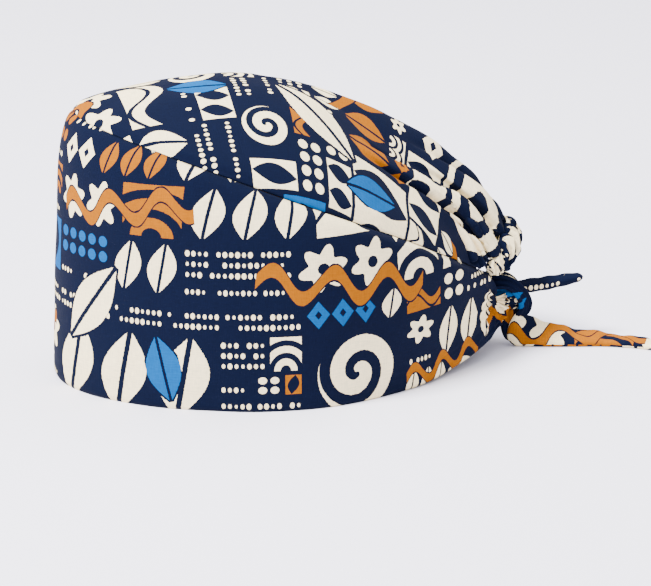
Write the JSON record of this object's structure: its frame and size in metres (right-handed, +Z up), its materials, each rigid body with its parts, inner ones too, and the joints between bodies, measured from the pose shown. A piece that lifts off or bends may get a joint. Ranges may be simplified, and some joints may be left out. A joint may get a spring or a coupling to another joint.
{
  "type": "surgical scrub cap",
  "caption": "Tie-back surgical scrub cap of printed woven cotton, with a deep side band, a folded crown, a gathered elastic casing at the back and its two ties knotted.",
  "frame": {"origin": "middle of the outline of the cap with its ties, on the surface that it stands on", "axes": "+Z up through the crown, -Y towards the front of the cap, +Y towards the knot and along the ties, +X towards the wearer's left side"},
  "size_m": [0.1628, 0.31, 0.147],
  "materials": {
    "band_cotton": "matte printed cotton",
    "crown_cotton": "matte printed cotton",
    "casing_cotton": "matte printed cotton",
    "tie_cotton": "matte printed cotton"
  },
  "bodies": {
    "root": {"band": "band_cotton", "crown": "crown_cotton", "elastic_casing": "casing_cotton", "knot": "tie_cotton", "long_tie": "tie_cotton", "short_tie": "tie_cotton"}
  },
  "joints": []
}
